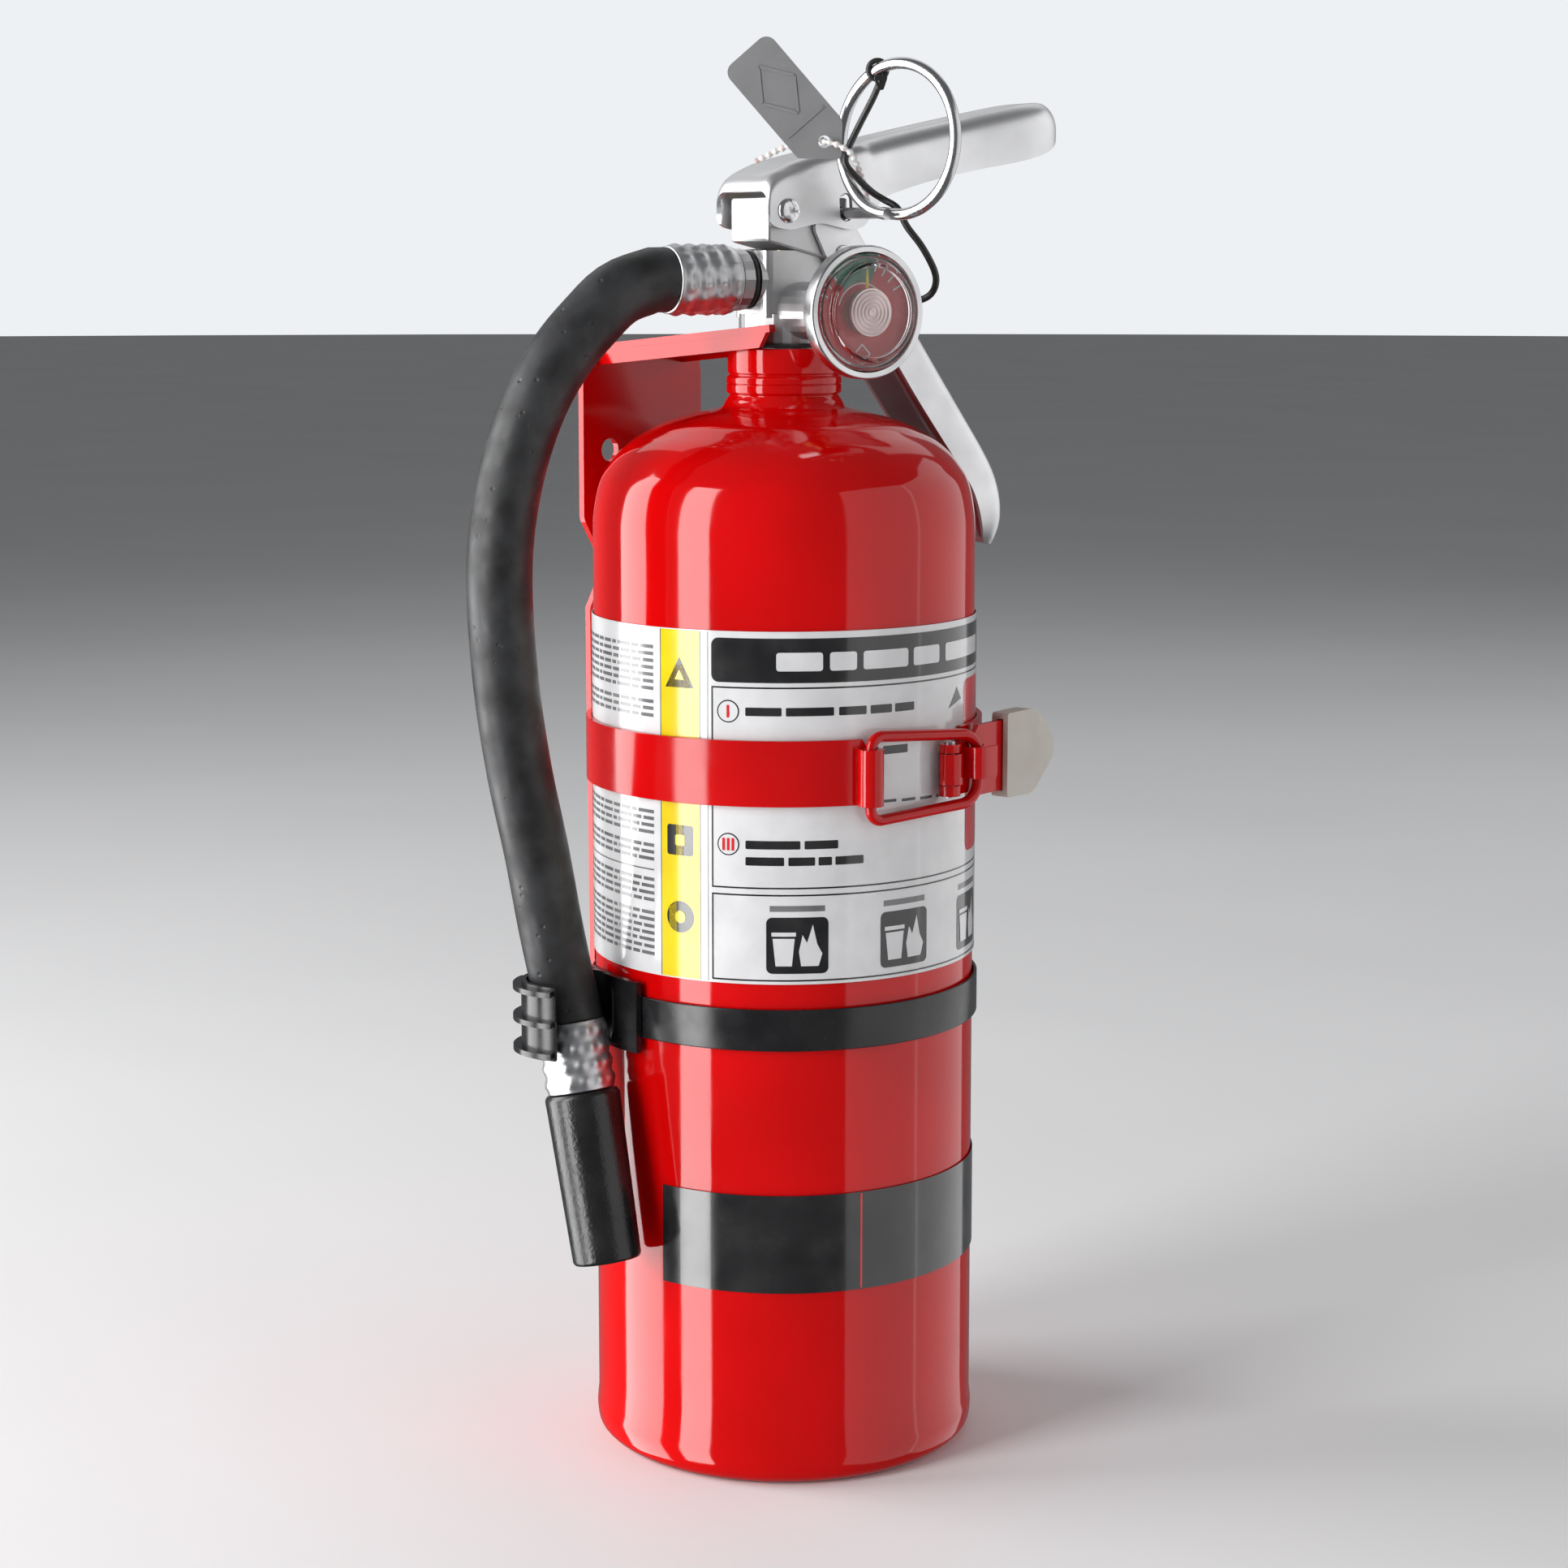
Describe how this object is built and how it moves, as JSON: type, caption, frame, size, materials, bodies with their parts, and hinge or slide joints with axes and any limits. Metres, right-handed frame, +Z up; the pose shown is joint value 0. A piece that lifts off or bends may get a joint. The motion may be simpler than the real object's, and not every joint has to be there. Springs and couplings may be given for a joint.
{
  "type": "fire extinguisher",
  "caption": "Portable stored-pressure dry-powder fire extinguisher with squeeze lever, pull pin, gauge and hose, strapped in a wall bracket with a fork and an over-centre latch.",
  "frame": {"origin": "under the middle of the whole assembly, on the plane the cylinder stands on (cord nodes left out)", "axes": "+Z up along the cylinder, +Y towards the wall the bracket is screwed to; the strap latch faces -Y, and the lever points about 15 degrees from +X towards -Y"},
  "size_m": [0.1849, 0.1236, 0.3964],
  "materials": {
    "red_paint": "glossy red powder coat on steel sheet and wire",
    "plated_steel": "bright nickel plated steel, drawn and stamped",
    "cast_aluminium": "machined and tumbled aluminium",
    "brass": "turned brass",
    "black_rubber": "matt black moulded rubber",
    "black_plastic": "satin black moulded plastic",
    "white_rubber": "off-white dipped soft grip",
    "clear_plastic": "clear moulded lens",
    "label_white": "gloss printed label, clear over red, white panel and yellow stripe",
    "label_black": "gloss printed black label",
    "dial_red": "printed dial, red with a green sector",
    "needle_yellow": "painted pointer",
    "grey_plastic": "grey embossed plastic tag",
    "tie_plastic": "translucent natural plastic",
    "powder": "pale yellow dry powder"
  },
  "bodies": {
    "root": {"cylinder_shell": "red_paint", "bracket_plate": "red_paint", "strap_long_arm": "red_paint", "strap_short_arm": "red_paint", "carry_handle": "plated_steel", "lever_rivet": "plated_steel", "handle_rivet": "plated_steel", "ferrule_valve_end": "plated_steel", "ferrule_nozzle_end": "plated_steel", "strap_rivet_left": "plated_steel", "strap_rivet_right": "plated_steel", "latch_hinge_pin": "plated_steel", "gauge_case": "plated_steel", "stem_spring": "plated_steel", "valve_body": "cast_aluminium", "hose_coupling": "cast_aluminium", "stem_retainer": "brass", "gauge_stem": "brass", "bourdon_coil": "brass", "nozzle_insert": "brass", "hose": "black_rubber", "neck_o_ring": "black_rubber", "stem_o_ring": "black_rubber", "coupling_o_ring": "black_rubber", "pin_tether": "black_rubber", "hose_clip": "black_plastic", "clip_band": "black_plastic", "nozzle": "black_plastic", "siphon_tube": "black_plastic", "gauge_lens": "clear_plastic", "instruction_label": "label_white", "band_label": "label_black", "gauge_dial": "dial_red", "agent_charge": "powder"},
    "lever": {"operating_lever": "plated_steel"},
    "stem": {"valve_stem": "brass", "stem_seal": "black_rubber"},
    "pin": {"pull_pin": "plated_steel", "seal_tag": "grey_plastic", "tamper_seal_tie": "tie_plastic"},
    "needle": {"gauge_needle": "needle_yellow"},
    "latch": {"latch_lever": "red_paint", "latch_grip_cap": "white_rubber"},
    "bail": {"latch_bail": "red_paint"}
  },
  "joints": [
    {"name": "lever_squeeze", "type": "hinge", "parent": "root", "child": "lever", "pos_m": [-0.01037, 0.00462, 0.3498], "axis": [0.2521, 0.9677, 0], "range_deg": [0, 10], "stiffness_Nm_per_rad": 1.5},
    {"name": "stem_press", "type": "slide", "parent": "root", "child": "stem", "axis": [0, 0, -1], "range_m": [0, 0.0014], "deforming": ["stem_spring"]},
    {"name": "pin_pull", "type": "slide", "parent": "root", "child": "pin", "axis": [-0.2521, -0.9677, 0], "range_m": [0, 0.04], "deforming": ["pin_tether"]},
    {"name": "needle_sweep", "type": "hinge", "parent": "root", "child": "needle", "pos_m": [-0.01394, -0.03765, 0.3224], "axis": [-0.2521, -0.9677, 0], "range_deg": [-50, 60]},
    {"name": "latch_lever_swing", "type": "hinge", "parent": "root", "child": "latch", "pos_m": [0.00108, -0.05543, 0.1998], "axis": [0, 0, -1], "range_deg": [0, 60]},
    {"name": "bail_swing", "type": "hinge", "parent": "root", "child": "bail", "pos_m": [-0.02631, -0.05092, 0.1985], "axis": [0, 0, -1], "range_deg": [0, 20]}
  ],
  "couplings": [
    {"joint": "stem_press", "follows": "lever_squeeze", "m_per_rad": 0.0072},
    {"joint": "bail_swing", "follows": "latch_lever_swing", "ratio": 0.3}
  ]
}
